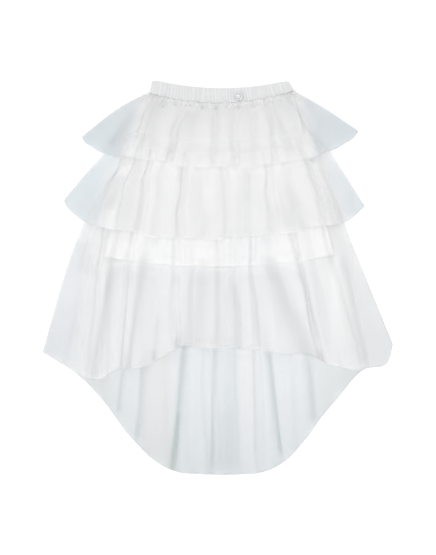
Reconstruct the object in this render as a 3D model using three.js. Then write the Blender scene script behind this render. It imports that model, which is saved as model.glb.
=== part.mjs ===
// A girl's tulle skirt with a short front and a long back, laid flat on its back, front up.
//
// An elastic waistband carries an opaque lining. Three gathered flounces of tulle hang over the lining:
// tier 1 from the waistband, tiers 2 and 3 from seams further down. Each flounce is a front and a back panel,
// joined at the sides, where they lie on each other. Tier 3's back panel is the long train.
//
// Millimetres. +Z is up, off the surface that the skirt lies on. +Y runs up the skirt to its waist, and +X to
// the right as the skirt is seen from above. The origin is under the middle of the outline, on that surface.
//
// Every panel is a wall over a plan of straight lines that fan out from its seam to its hem. Flutes run down
// those lines. A panel lies on all the panels under it: its height is the sum of the room that they need.
import * as THREE from "three";

// ---- Driving dimensions ----
const TULLE_WALL = 1.2;
const LINING_WALL = 1.0;
const SEAM_GAP = 0.3; // between pieces where they are sewn together
const AIR = 0.7; // more room between two panels, away from their side seams
const FRONT_CREST = 8; // how far the flutes of a front panel stand up
const BACK_CREST = 3; // the same for a back panel, which the rest of the skirt weighs down
const TRAIN_CREST = 4.5; // the same for tier 3's back panel, most of which nothing weighs down
const BAND_THICK = 4.2; // elastic in its gathered casing
const BAND_RIPPLE = 1.1; // how far the casing's gathers stand up
const BAND_GATHERS = 30; // across one side of the band
const BADGE_RADIUS = 6.8;
const BADGE_AT = { x: 35.7, y: 307 };

// How the panels settle on each other.
const GATHERED_SHARE = 0.25; // share of a flute's height that is left in its seam
const SWELL = 45; // distance from a seam or a side in which the flutes rise to their full height
const AIR_SWELL = 16; // the same distance for the air between two panels
const REACH = 8; // what lies over a panel's edge stays up this far beyond it
const TULLE_SLOPE = 48; // and then comes down beside a flounce in this distance
const LINING_SLOPE = 26;
const STEPS = 4; // columns in one flute
const LAND_SHARE = 0.3; // share of a back panel's flute that rests flat

// ---- Seams: the two ends and the middle of each, from the waist down ----
const BAND_TOP = { left: [-110.8, 335.6], middle: [7, 321.2], right: [119.5, 334.4] };
const WAIST_SEAM = { left: [-115.9, 312.6], middle: [7, 295.8], right: [128, 316.5] };
const TIER_2_SEAM = { left: [-140.6, 247.2], middle: [6, 232.7], right: [151, 248.9] };
const TIER_3_SEAM = { left: [-148.2, 192.8], middle: [6, 177.5], right: [167, 194.5] };
const LINING_HEM = { left: [-193, 35], middle: [4, 18.5], right: [197, 38] };

// ---- Hems: places along each, from the left tip to the right one ----
const TIER_1_HEM = [
  { x: -230.7, y: 239 },
  { x: -226, y: 230 },
  { x: -213.7, y: 221.7 },
  { x: -191.6, y: 210.6 },
  { x: -132, y: 201 },
  { x: -64, y: 189.4 },
  { x: 4, y: 184.3 },
  { x: 75, y: 187.7 },
  { x: 140, y: 199.6 },
  { x: 191, y: 214.9 },
  { x: 216.4, y: 227.6 },
  { x: 231.7, y: 237.8 },
  { x: 239.4, y: 248.9 },
];
const TIER_2_HEM = [
  { x: -261.3, y: 131.6 },
  { x: -256.2, y: 119.7 },
  { x: -244.3, y: 107.8 },
  { x: -227.3, y: 95.9 },
  { x: -183, y: 82.3 },
  { x: -123.6, y: 70.4 },
  { x: -55.6, y: 64.4 },
  { x: 12.4, y: 65.3 },
  { x: 80.4, y: 70.4 },
  { x: 148.4, y: 80.6 },
  { x: 211.3, y: 93.3 },
  { x: 233.4, y: 106.1 },
  { x: 249.6, y: 121.4 },
];
const TIER_3_FRONT_HEM = [
  { x: -297.4, y: -126.8 },
  { x: -276.6, y: -139.6 },
  { x: -247.7, y: -157.4 },
  { x: -208.6, y: -172.7 },
  { x: -162.7, y: -155.7 },
  { x: -106.6, y: -135.3 },
  { x: -55.6, y: -121.7 },
  { x: 4, y: -118.3 },
  { x: 63.4, y: -121.7 },
  { x: 123, y: -130.2 },
  { x: 182.4, y: -143.8 },
  { x: 225, y: -155.7 },
  { x: 252, y: -154 },
  { x: 279.3, y: -150.6 },
  { x: 291.2, y: -140.4 },
  { x: 297.4, y: -113.2 },
];
const TRAIN_HEM = [
  { x: -297.4, y: -126.8 },
  { x: -276.6, y: -139.6 },
  { x: -247.7, y: -157.4 },
  { x: -220.5, y: -181.2 },
  { x: -191.6, y: -213.5 },
  { x: -159.3, y: -257.7 },
  { x: -135.5, y: -284.9 },
  { x: -108.3, y: -310.4 },
  { x: -70.9, y: -330 },
  { x: -21.6, y: -334.9 },
  { x: 29.4, y: -335.2 },
  { x: 77, y: -330.8 },
  { x: 114.4, y: -312.1 },
  { x: 146.7, y: -278.1 },
  { x: 175.6, y: -239 },
  { x: 207.9, y: -199.9 },
  { x: 231.7, y: -171 },
  { x: 252, y: -155 },
  { x: 279.3, y: -150.6 },
  { x: 291.2, y: -140.4 },
  { x: 297.4, y: -113.2 },
];

// ---- Folds: the valleys between flutes. seam and hem are a valley's x at each end, and rise is the share of
// the panel's crest that the flute on the valley's right reaches. The last row is the right side. ----
const TIER_1_FOLDS = [
  { seam: -115.9, hem: -230.7, rise: 0.5 },
  { seam: -110, hem: -180, rise: 0.8 },
  { seam: -98, hem: -134, rise: 0.7 },
  { seam: -78, hem: -110, rise: 0.8 },
  { seam: -50, hem: -84, rise: 1 },
  { seam: -25, hem: -39, rise: 0.75 },
  { seam: -3, hem: -6, rise: 0.9 },
  { seam: 28, hem: 31, rise: 0.85 },
  { seam: 58, hem: 67, rise: 0.8 },
  { seam: 79, hem: 99, rise: 0.9 },
  { seam: 96, hem: 135, rise: 1 },
  { seam: 113, hem: 182, rise: 0.5 },
  { seam: 128, hem: 239.4, rise: 0 },
];
const TIER_2_FOLDS = [
  { seam: -140.6, hem: -261.3, rise: 0.5 },
  { seam: -134, hem: -234, rise: 0.7 },
  { seam: -127, hem: -207, rise: 0.7 },
  { seam: -118, hem: -169, rise: 0.9 },
  { seam: -98, hem: -132, rise: 0.7 },
  { seam: -74, hem: -98, rise: 0.8 },
  { seam: -49, hem: -64, rise: 0.95 },
  { seam: -20, hem: -22, rise: 0.9 },
  { seam: 11, hem: 18, rise: 0.8 },
  { seam: 45, hem: 52, rise: 1 },
  { seam: 75, hem: 97, rise: 0.9 },
  { seam: 104, hem: 148, rise: 0.95 },
  { seam: 125, hem: 188, rise: 0.8 },
  { seam: 140, hem: 220, rise: 0.5 },
  { seam: 151, hem: 249.6, rise: 0 },
];
const TIER_3_FOLDS = [
  { seam: -148.2, hem: -297.4, rise: 0.6 },
  { seam: -146, hem: -254, rise: 0.8 },
  { seam: -142, hem: -210, rise: 0.6 },
  { seam: -122, hem: -186, rise: 0.7 },
  { seam: -101, hem: -161, rise: 0.95 },
  { seam: -78, hem: -107, rise: 0.7 },
  { seam: -54, hem: -67, rise: 0.8 },
  { seam: -25, hem: -40, rise: 0.85 },
  { seam: 7, hem: 11, rise: 0.7 },
  { seam: 28, hem: 38, rise: 0.8 },
  { seam: 50, hem: 75, rise: 0.95 },
  { seam: 69, hem: 137, rise: 1 },
  { seam: 99, hem: 177, rise: 0.85 },
  { seam: 126, hem: 213, rise: 0.9 },
  { seam: 150, hem: 250, rise: 0.6 },
  { seam: 167, hem: 297.4, rise: 0 },
];
const TRAIN_FOLDS = [
  { seam: -148.2, hem: -297.4, rise: 0.5 },
  { seam: -139, hem: -237, rise: 0.7 },
  { seam: -120, hem: -180, rise: 0.7 },
  { seam: -98, hem: -129, rise: 0.9 },
  { seam: -67, hem: -71, rise: 0.7 },
  { seam: -39, hem: -40, rise: 0.8 },
  { seam: -18, hem: -11, rise: 1 },
  { seam: 6, hem: 14, rise: 0.7 },
  { seam: 29, hem: 43, rise: 1 },
  { seam: 57, hem: 75, rise: 0.85 },
  { seam: 82, hem: 106, rise: 0.8 },
  { seam: 111, hem: 140, rise: 0.9 },
  { seam: 137, hem: 181, rise: 0.8 },
  { seam: 155, hem: 235, rise: 0.5 },
  { seam: 167, hem: 297.4, rise: 0 },
];
const HIDDEN_FLUTES = 10;
const HIDDEN_UNEVEN = 0.18; // how far a hidden flute's valley strays, as a share of a flute

// ---- Small helpers ----
const mix = (a, b, t) => a + (b - a) * t;
const clamp01 = (t) => Math.min(1, Math.max(0, t));
const ease = (t) => clamp01(t) ** 2 * (3 - 2 * clamp01(t));

// A seam as a parabola through its two ends and its middle, moved down by drop.
function seamLine({ left, middle, right }, drop = 0) {
  const curvature =
    ((right[1] - middle[1]) / (right[0] - middle[0]) - (middle[1] - left[1]) / (middle[0] - left[0])) /
    (right[0] - left[0]);
  const slope = (middle[1] - left[1]) / (middle[0] - left[0]) - curvature * (middle[0] - left[0]);
  const y = (x) => left[1] + (x - left[0]) * (slope + curvature * (x - left[0])) - drop;
  return { left: left[0], right: right[0], y };
}

// A hem as a smooth curve through its table, read as y at an x.
function hemLine(table) {
  const spots = new THREE.SplineCurve(table.map(({ x, y }) => new THREE.Vector2(x, y))).getPoints(200);
  const y = (x) => {
    const next = spots.findIndex((spot) => spot.x >= x);
    if (next < 0) return spots.at(-1).y;
    if (next === 0) return spots[0].y;
    const [a, b] = [spots[next - 1], spots[next]];
    return mix(a.y, b.y, (x - a.x) / (b.x - a.x));
  };
  return { left: table[0].x, right: table.at(-1).x, y };
}

// Valleys of a panel that nothing shows: nearly even, none quite.
function hiddenFolds(seam, hem, count = HIDDEN_FLUTES) {
  return Array.from({ length: count + 1 }, (_, i) => {
    const inside = i > 0 && i < count;
    const share = (i + (inside ? HIDDEN_UNEVEN * Math.sin(2.4 * i) : 0)) / count;
    return {
      seam: mix(seam.left, seam.right, share),
      hem: mix(hem.left, hem.right, share),
      rise: 0.75 + 0.25 * Math.cos(1.7 * i),
    };
  });
}

// ---- A panel ----
// seam and hem are its lines, folds its valleys, bow how far its left and right sides curve outwards, rows the
// shares of the way down at which its sections lie, and under the panels that it lies on.
class Panel {
  constructor({ name, wall, crest, land = 0, slope, seam, hem, folds, bow, rows, under, colour }) {
    Object.assign(this, { name, wall, crest, land, slope, seam, hem, folds, bow, rows, under, colour });
  }

  // How far a side has curved outwards at a share v of the way down it: quickly at first, then less.
  bend(v) {
    return Math.sin(Math.PI * clamp01(v) ** 0.6);
  }

  // x of the left (-1) or right (1) side at a height y.
  sideX(side, y) {
    const [top, foot] = side < 0 ? [this.seam.left, this.hem.left] : [this.seam.right, this.hem.right];
    const v = clamp01((this.seam.y(top) - y) / (this.seam.y(top) - this.hem.y(foot)));
    return mix(top, foot, v) + side * this.bow[side < 0 ? "left" : "right"] * this.bend(v);
  }

  // Distance inwards from the nearer side.
  fromSide(x, y) {
    return Math.min(x - this.sideX(-1, y), this.sideX(1, y) - x);
  }

  // How high a crest may stand at a place: low in the seam and nothing at the sides.
  loft(x, y) {
    const down = mix(GATHERED_SHARE, 1, ease((this.seam.y(x) - y) / SWELL));
    return this.crest * down * ease(this.fromSide(x, y) / SWELL);
  }

  // The height that the panel takes up at a place, with the gap over it.
  room(x, y) {
    return this.wall + SEAM_GAP + AIR * ease(this.fromSide(x, y) / AIR_SWELL) + this.loft(x, y);
  }

  // 1 over the panel, easing to 0 beyond its edges.
  cover(x, y) {
    const inside = Math.min(this.fromSide(x, y), this.seam.y(x) - y, y - this.hem.y(x));
    return ease(1 + (inside + REACH) / this.slope);
  }

  // The height at which the panel lies: on all that is under it.
  base(x, y) {
    return this.under.reduce((sum, panel) => sum + panel.room(x, y) * panel.cover(x, y), 0);
  }

  // The columns of the fan: the x of each at the seam and at the hem, and the share of a crest on it.
  columns() {
    const list = this.folds.slice(1).flatMap((next, i) =>
      Array.from({ length: STEPS }, (_, step) => {
        const t = step / STEPS;
        const fold = this.folds[i];
        const raised = clamp01((t - this.land / 2) / (1 - this.land));
        return {
          seam: mix(fold.seam, next.seam, t),
          hem: mix(fold.hem, next.hem, t),
          share: fold.rise * Math.sin(Math.PI * raised),
        };
      }),
    );
    return [...list, { ...this.folds.at(-1), share: 0 }];
  }

  // The wall's under and upper height at a column, a share v of the way down.
  point(column, v) {
    const across = (column.seam - this.seam.left) / (this.seam.right - this.seam.left);
    const pull = this.bow.right * across ** 3 - this.bow.left * (1 - across) ** 3;
    const x = mix(column.seam, column.hem, v) + pull * this.bend(v);
    const y = mix(this.seam.y(column.seam), this.hem.y(column.hem), v);
    const low = this.base(x, y) + this.loft(x, y) * column.share;
    return { x, y, low, high: low + this.wall };
  }

  mesh() {
    const columns = this.columns();
    const geometry = wallGeometry(columns.length, this.rows.length, (c, r) => this.point(columns[c], this.rows[r]));
    return namedMesh(this.name, geometry, { color: this.colour, roughness: 0.9, metalness: 0 });
  }
}

// A closed wall over a grid. point(column, row) gives x, y and the wall's low and high z there. Columns run
// left to right and rows from the waist down.
function wallGeometry(columns, rows, point) {
  const positions = [];
  for (const side of ["high", "low"])
    for (let r = 0; r < rows; r++)
      for (let c = 0; c < columns; c++) {
        const p = point(c, r);
        positions.push(p.x, p.y, p[side]);
      }
  const high = (c, r) => r * columns + c;
  const low = (c, r) => rows * columns + high(c, r);
  const index = [];
  const quad = (a, b, c, d) => index.push(a, b, c, a, c, d);
  for (let r = 0; r + 1 < rows; r++) {
    for (let c = 0; c + 1 < columns; c++) {
      quad(high(c, r + 1), high(c + 1, r + 1), high(c + 1, r), high(c, r));
      quad(low(c + 1, r), low(c + 1, r + 1), low(c, r + 1), low(c, r));
    }
    quad(high(0, r), low(0, r), low(0, r + 1), high(0, r + 1));
    quad(high(columns - 1, r + 1), low(columns - 1, r + 1), low(columns - 1, r), high(columns - 1, r));
  }
  for (let c = 0; c + 1 < columns; c++) {
    quad(high(c + 1, 0), low(c + 1, 0), low(c, 0), high(c, 0));
    quad(high(c, rows - 1), low(c, rows - 1), low(c + 1, rows - 1), high(c + 1, rows - 1));
  }
  const geometry = new THREE.BufferGeometry();
  geometry.setAttribute("position", new THREE.Float32BufferAttribute(positions, 3));
  geometry.setIndex(index);
  return geometry;
}

function namedMesh(name, geometry, finish) {
  const mesh = new THREE.Mesh(geometry, new THREE.MeshStandardMaterial(finish));
  mesh.name = name;
  return mesh;
}

// ---- The waistband: a flattened loop, as a front and a back length. The front one lies on the back one. ----
// ripple is how far the casing's gathers stand up. They run down the band, uneven in height.
function waistband(name, base, ripple) {
  const top = seamLine(BAND_TOP);
  const foot = seamLine(WAIST_SEAM);
  const sections = [
    { down: 0, full: 0.55 }, // the folded top edge
    { down: 0.16, full: 1 },
    { down: 0.84, full: 1 },
    { down: 1, full: 0.6 }, // the edge that is sewn to the skirt
  ];
  const columns = 2 * BAND_GATHERS + 1;
  const geometry = wallGeometry(columns, sections.length, (c, r) => {
    const share = c / (columns - 1);
    const { down, full } = sections[r];
    const [xTop, xFoot] = [mix(top.left, top.right, share), mix(foot.left, foot.right, share)];
    const gather = c % 2 ? ripple * (0.6 + 0.4 * Math.sin(1.9 * c)) * full : 0;
    return {
      x: mix(xTop, xFoot, down),
      y: mix(top.y(xTop), foot.y(xFoot), down),
      low: base,
      high: base + BAND_THICK * full + gather,
    };
  });
  return namedMesh(name, geometry, { color: 0xf1f2f3, roughness: 0.8, metalness: 0 });
}

// A plain round metal badge: a raised rim round a low dome.
function badge(z) {
  const profile = [
    { r: 0, z: 0 },
    { r: BADGE_RADIUS, z: 0 },
    { r: BADGE_RADIUS, z: 1.1 },
    { r: BADGE_RADIUS - 0.7, z: 1.6 },
    { r: BADGE_RADIUS - 1.5, z: 1.1 },
    { r: BADGE_RADIUS - 2.2, z: 0.9 },
    { r: BADGE_RADIUS - 3.6, z: 1.5 },
    { r: 0, z: 2 },
  ];
  const geometry = new THREE.LatheGeometry(profile.map((p) => new THREE.Vector2(p.r, p.z)), 20);
  const mesh = namedMesh("waist_badge", geometry, { color: 0xb9bcc0, roughness: 0.3, metalness: 1 });
  mesh.rotation.x = Math.PI / 2;
  mesh.position.set(BADGE_AT.x, BADGE_AT.y, z);
  return mesh;
}

// ---- The panels, from the surface up ----
const TULLE_COLOUR = 0xeef1f3;
const LINING_COLOUR = 0xf7f7f6;
const waistSeam = seamLine(WAIST_SEAM, SEAM_GAP);
const tier2Seam = seamLine(TIER_2_SEAM);
const tier3Seam = seamLine(TIER_3_SEAM);
const liningHem = seamLine(LINING_HEM);
const [tier1Hem, tier2Hem] = [TIER_1_HEM, TIER_2_HEM].map(hemLine);
const [tier3Hem, trainHem] = [TIER_3_FRONT_HEM, TRAIN_HEM].map(hemLine);

const tulle = { wall: TULLE_WALL, slope: TULLE_SLOPE, colour: TULLE_COLOUR };
const lining = {
  wall: LINING_WALL,
  slope: LINING_SLOPE,
  colour: LINING_COLOUR,
  crest: 0,
  seam: waistSeam,
  hem: liningHem,
  folds: hiddenFolds(waistSeam, liningHem, 5),
  bow: { left: 0, right: 0 },
  rows: [0, 0.07, 0.15, 0.23, 0.31, 0.4, 0.49, 0.58, 0.68, 0.79, 0.9, 1],
};
const tier1 = {
  seam: waistSeam,
  hem: tier1Hem,
  bow: { left: 13.6, right: 6 },
  rows: [0, 0.1, 0.22, 0.36, 0.5, 0.6, 0.72, 0.86, 1],
};
const tier2 = {
  seam: tier2Seam,
  hem: tier2Hem,
  bow: { left: 13, right: 10 },
  rows: [0, 0.07, 0.16, 0.26, 0.38, 0.52, 0.67, 0.83, 1],
};
const tier3 = {
  seam: tier3Seam,
  bow: { left: 32, right: 3 },
  rows: [0, 0.04, 0.09, 0.15, 0.21, 0.27, 0.33, 0.4, 0.48, 0.56, 0.66, 0.77, 0.88, 1],
};

const tier1Back = new Panel({
  ...tulle,
  ...tier1,
  name: "tier_1_back",
  crest: BACK_CREST,
  land: LAND_SHARE,
  folds: hiddenFolds(waistSeam, tier1Hem),
  under: [],
});
const tier2Back = new Panel({
  ...tulle,
  ...tier2,
  name: "tier_2_back",
  crest: BACK_CREST,
  land: LAND_SHARE,
  folds: hiddenFolds(tier2Seam, tier2Hem),
  under: [tier1Back],
});
const train = new Panel({
  ...tulle,
  ...tier3,
  name: "tier_3_back",
  crest: TRAIN_CREST,
  land: LAND_SHARE,
  hem: trainHem,
  folds: TRAIN_FOLDS,
  under: [tier1Back, tier2Back],
});
const liningBack = new Panel({ ...lining, name: "lining_back", under: [tier1Back, tier2Back, train] });
const liningFront = new Panel({ ...lining, name: "lining_front", under: [...liningBack.under, liningBack] });
const tier3Front = new Panel({
  ...tulle,
  ...tier3,
  name: "tier_3_front",
  crest: FRONT_CREST,
  hem: tier3Hem,
  folds: TIER_3_FOLDS,
  under: [...liningFront.under, liningFront],
});
const tier2Front = new Panel({
  ...tulle,
  ...tier2,
  name: "tier_2_front",
  crest: FRONT_CREST,
  folds: TIER_2_FOLDS,
  under: [...tier3Front.under, tier3Front],
});
const tier1Front = new Panel({
  ...tulle,
  ...tier1,
  name: "tier_1_front",
  crest: FRONT_CREST,
  folds: TIER_1_FOLDS,
  under: [...tier2Front.under, tier2Front],
});

const bandFrontBase = BAND_THICK + SEAM_GAP;
const skirt = new THREE.Group();
skirt.add(
  waistband("waistband_back", 0, 0),
  waistband("waistband_front", bandFrontBase, BAND_RIPPLE),
  badge(bandFrontBase + BAND_THICK + BAND_RIPPLE + SEAM_GAP),
);
for (const panel of [tier1Back, tier2Back, train, liningBack, liningFront, tier3Front, tier2Front, tier1Front])
  skirt.add(panel.mesh());

export default skirt;
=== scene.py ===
"""Tulle skirt laid flat on its back: a gathered waistband, an opaque lining and three flounces of tulle."""

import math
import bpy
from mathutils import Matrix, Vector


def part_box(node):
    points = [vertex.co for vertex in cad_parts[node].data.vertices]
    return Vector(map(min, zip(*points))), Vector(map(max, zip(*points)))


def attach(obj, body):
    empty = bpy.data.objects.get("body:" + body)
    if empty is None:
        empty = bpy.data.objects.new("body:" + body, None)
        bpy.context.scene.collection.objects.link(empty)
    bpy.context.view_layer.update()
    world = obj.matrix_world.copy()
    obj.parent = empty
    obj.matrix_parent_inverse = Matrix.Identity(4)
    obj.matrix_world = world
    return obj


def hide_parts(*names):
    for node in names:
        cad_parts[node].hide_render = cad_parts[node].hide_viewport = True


bl_info = {
    "name": "Tulle Skirt",
    "version": (1, 0, 0),
    "blender": (4, 5, 0),
    "location": "View3D > Sidebar > Skirt",
    "description": "Makes a girl's tulle skirt with a short front and a long back, laid flat",
    "category": "Object",
}

from collections import namedtuple

import bpy
import numpy as np
from bpy.props import FloatProperty, FloatVectorProperty, IntProperty, PointerProperty
from mathutils import Vector

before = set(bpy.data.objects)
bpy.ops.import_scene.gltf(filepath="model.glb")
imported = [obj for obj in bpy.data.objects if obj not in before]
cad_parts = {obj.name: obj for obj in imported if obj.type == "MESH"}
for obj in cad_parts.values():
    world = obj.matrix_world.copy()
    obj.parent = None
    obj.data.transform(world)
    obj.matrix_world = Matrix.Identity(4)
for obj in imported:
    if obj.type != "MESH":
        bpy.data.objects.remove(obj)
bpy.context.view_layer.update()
ROOT = "root"
MM = 0.001

# ---- Sizes that the solids are made from: millimetres, or shares where the name says so ----
TULLE_WALL = 1.2
LINING_WALL = 1.0
SEAM_GAP = 0.3
AIR = 0.7
FRONT_CREST = 8
BACK_CREST = 3
TRAIN_CREST = 4.5
BAND_THICK = 4.2
BADGE = {"x": 35.7, "y": 307, "radius": 6.8}
GATHERED_SHARE = 0.25
SWELL = 45
AIR_SWELL = 16
REACH = 8
TULLE_SLOPE = 48
LINING_SLOPE = 26
LAND_SHARE = 0.3

# ---- Fine form of the cloth, in the same units ----
GATHER_PITCH = 5.6
GATHER_REACH = 13
LOOSE_PITCH = 11.5
LOOSE_HEIGHT = 0.5
RIPPLE_HEIGHT = 0.35
RIPPLES_IN_FLUTE = 2.6
SIDE_WAVE = 1.6
CREASE_WAVE = 1.2
BUNCH_HEIGHT = 1.5
HEM_STEP = 2
HEM_TURN = 13
HEM_STITCHES = 11.5
BAND_STITCHES_SHARE = 0.86
LOWEST = 0.3

# ---- Distances over which the tulle's looks change, in millimetres ----
FULL_EDGE = 30
FULL_TONE = 40
FULL_BACKING = 45
SIDE_BUNCH_REACH = 30
TOP_GREY_REACH = 75
FOOT_SHADE_REACH = 16
THIN_HEAD_REACH = 16
THIN_FOOT_REACH = 4.5
RIM_REACH = 20
RIM_GLOW_IN, RIM_GLOW_OUT = 5, 14

# ---- Seams: left end, middle and right end, from the waist down ----
Line = namedtuple("Line", "left middle right")
BAND_TOP = Line((-110.8, 335.6), (7, 321.2), (119.5, 334.4))
WAIST_SEAM = Line((-115.9, 312.6), (7, 295.8), (128, 316.5))
TIER_2_SEAM = Line((-140.6, 247.2), (6, 232.7), (151, 248.9))
TIER_3_SEAM = Line((-148.2, 192.8), (6, 177.5), (167, 194.5))
LINING_HEM = Line((-193, 35), (4, 18.5), (197, 38))

# ---- Hems: x and y of places from the left tip to the right one ----
TIER_1_HEM = [
    (-230.7, 239), (-226, 230), (-213.7, 221.7), (-191.6, 210.6), (-132, 201), (-64, 189.4), (4, 184.3),
    (75, 187.7), (140, 199.6), (191, 214.9), (216.4, 227.6), (231.7, 237.8), (239.4, 248.9),
]
TIER_2_HEM = [
    (-261.3, 131.6), (-256.2, 119.7), (-244.3, 107.8), (-227.3, 95.9), (-183, 82.3), (-123.6, 70.4),
    (-55.6, 64.4), (12.4, 65.3), (80.4, 70.4), (148.4, 80.6), (211.3, 93.3), (233.4, 106.1), (249.6, 121.4),
]
TIER_3_HEM = [
    (-297.4, -126.8), (-276.6, -139.6), (-247.7, -157.4), (-208.6, -172.7), (-162.7, -155.7), (-130, -152),
    (-104, -141), (-80, -126), (-58, -119), (4, -118.3), (50, -122.5), (100, -127), (150, -132),
    (182.4, -143.8), (225, -155.7), (252, -154), (279.3, -150.6), (291.2, -140.4), (297.4, -113.2),
]
TRAIN_HEM = [
    *TIER_3_HEM[:3],
    (-220.5, -181.2), (-191.6, -213.5), (-159.3, -257.7), (-135.5, -284.9), (-108.3, -310.4), (-70.9, -330),
    (-21.6, -334.9), (29.4, -335.2), (77, -330.8), (114.4, -312.1), (146.7, -278.1), (175.6, -239),
    (207.9, -199.9), (231.7, -171), (252, -155),
    *TIER_3_HEM[-3:],
]


def listed(kind, *rows):
    """Rows of values as records of one kind."""
    return [kind(*row) for row in rows]


# ---- Folds: x of each valley at the seam and at the hem, how high the flute on its right stands as a share
# of the panel's crest, how far that flute leans over as a share of its height (right is positive), and how
# much more painted bluish shade its tulle gets than the panel, or how much more painted grey shade if below 0
# ----
Fold = namedtuple("Fold", "seam hem rise lean tone")
TIER_1_FOLDS = listed(
    Fold,
    (-115.9, -230.7, 0.5, 0, 0.06), (-110, -180, 0.8, 0.44, 0), (-98, -134, 0.7, -0.66, 0.03),
    (-78, -110, 0.8, 0.72, 0.06), (-50, -84, 1, -0.88, -0.03), (-25, -39, 0.75, 0.61, 0),
    (-3, -6, 0.9, 0.83, 0.03), (28, 31, 0.85, -0.66, -0.03), (58, 67, 0.8, 0.66, 0.03),
    (79, 99, 0.9, -0.77, 0.06), (96, 135, 1, 0.88, -0.03), (113, 182, 0.5, -0.44, 0.06),
    (128, 239.4, 0, 0, 0.06),
)
TIER_2_FOLDS = listed(
    Fold,
    (-140.6, -261.3, 0.5, 0, 0.06), (-134, -234, 0.7, 0.55, 0.03), (-127, -207, 0.7, 0.83, 0.09),
    (-118, -169, 0.9, 0.83, -0.03), (-98, -132, 0.7, -0.55, 0), (-74, -98, 0.8, 0.77, 0.03),
    (-49, -64, 0.95, -0.72, -0.03), (-20, -22, 0.9, 0.55, 0), (11, 18, 0.8, -0.66, 0.03),
    (45, 52, 1, 0.72, 0.09), (75, 97, 0.9, -0.72, 0), (104, 148, 0.95, 0.88, -0.03),
    (125, 188, 0.8, -0.72, -0.1), (140, 220, 0.5, -0.44, -0.08), (151, 249.6, 0, 0, 0.06),
)
TIER_3_FOLDS = listed(
    Fold,
    (-148.2, -297.4, 0.6, 0, 0.22), (-146, -254, 0.8, 0.45, 0.1), (-142, -210, 0.6, -0.5, -0.14),
    (-122, -186, 0.7, 0.6, -0.12), (-101, -161, 0.95, -0.9, 0.15), (-78, -107, 0.7, 0.6, 0.25),
    (-54, -67, 0.8, -0.6, 0.15), (-25, -40, 0.85, 0.7, 0.05), (7, 11, 0.7, -0.55, 0.15),
    (28, 38, 0.8, 0.65, 0.3), (50, 75, 0.95, -0.6, 0.25), (69, 137, 1, 0.9, 0.1),
    (99, 177, 0.85, -0.75, -0.1), (126, 213, 0.9, 0.6, 0), (150, 250, 0.6, -0.4, 0.1),
    (167, 297.4, 0, 0, 0.1),
)
TRAIN_FOLDS = listed(
    Fold,
    (-148.2, -297.4, 0.5, 0, 0), (-139, -237, 0.7, 0.4, -0.2), (-120, -180, 0.7, 0.6, 0.08),
    (-98, -129, 0.9, 0.8, -0.3), (-67, -71, 0.7, -0.8, 0.2), (-39, -40, 0.8, 0.5, 0.2),
    (-18, -11, 1, -0.7, 0.1), (6, 14, 0.7, 0.6, 0.2), (29, 43, 1, 0.8, -0.12), (57, 75, 0.85, -0.6, 0.08),
    (82, 106, 0.8, 0.7, 0.08), (111, 140, 0.9, -0.6, 0), (137, 181, 0.8, 0.5, -0.15),
    (155, 235, 0.5, -0.4, -0.25), (167, 297.4, 0, 0, -0.2),
)

# ---- Creases: from x0, y0 at the top to x1, y1 at the foot, with how far each reaches to its left and right.
# dark is how deep one is, from 0 to 1: it sinks the cloth and paints shade down in it. Below 0 it is a pale
# band where the tulle is bunched. ----
Crease = namedtuple("Crease", "x0 y0 x1 y1 left right dark")
TIER_1_CREASES = listed(
    Crease,
    (-103, 295, -127, 230, 3.8, 13.8, 0.15), (-50, 281, -86, 200, 3.8, 17.2, 0.18),
    (-1, 291, -6, 189, 3.75, 3.75, 0.13), (63, 281, 67, 186, 6.9, 2.5, 0.11),
    (99, 288, 130, 210, 10.3, 2.5, 0.15), (-144, 278, -183, 223, 7.7, 17.2, 0.18),
    (140, 288, 177, 223, 13.8, 6.4, 0.1), (-73, 305, -74, 291, 1.5, 4.1, 0.25),
    (-45, 303, -45, 290, 1.5, 4.1, 0.25), (-28, 302, -28, 286, 2.3, 6.3, 0.29),
    (-1, 300, -3, 285, 3.75, 3.75, 0.21), (38, 302, 38, 285, 5.1, 1.9, 0.23),
    (60, 303, 62, 288, 5.1, 1.9, 0.2), (80, 305, 84, 291, 5.1, 1.9, 0.15),
    (-91, 303, -96, 288, 1.9, 5.1, 0.15), (-30, 271, -33, 200, 10.2, 10.2, -0.09),
    (29, 281, 35, 193, 15.3, 12.75, -0.11), (86, 251, 92, 193, 10.2, 10.2, -0.07),
)
TIER_2_CREASES = listed(
    Crease,
    (-135, 200, -166, 70, 4.1, 7.3, 0.12), (-164, 172, -185, 118, 6, 12, 0.28),
    (-180, 177, -202, 132, 2.7, 11, 0.13), (-67, 186, -71, 159, 1.6, 5.4, 0.19),
    (-59, 186, -61, 162, 1.6, 4.3, 0.13), (-62, 138, -76, 81, 2.7, 11, 0.08),
    (-20, 111, -25, 67, 2.7, 9.1, 0.12), (55, 176, 52, 128, 5.4, 2, 0.19),
    (120, 159, 152, 70, 7.3, 4.1, 0.17), (157, 194, 203, 81, 11, 4.1, 0.04),
    (113, 121, 123, 91, 29.4, 10.9, 0.15), (191, 186, 222, 111, 11, 4.1, 0.04),
    (-112, 191, -122, 149, 13.6, 13.6, -0.08), (35, 179, 35, 149, 13.6, 13.6, -0.13),
    (-115, 149, -98, 106, 16.32, 16.32, -0.04), (92, 186, 99, 132, 13.6, 13.6, -0.05),
    (12, 132, 7, 77, 13.6, 13.6, -0.04),
)
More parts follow.
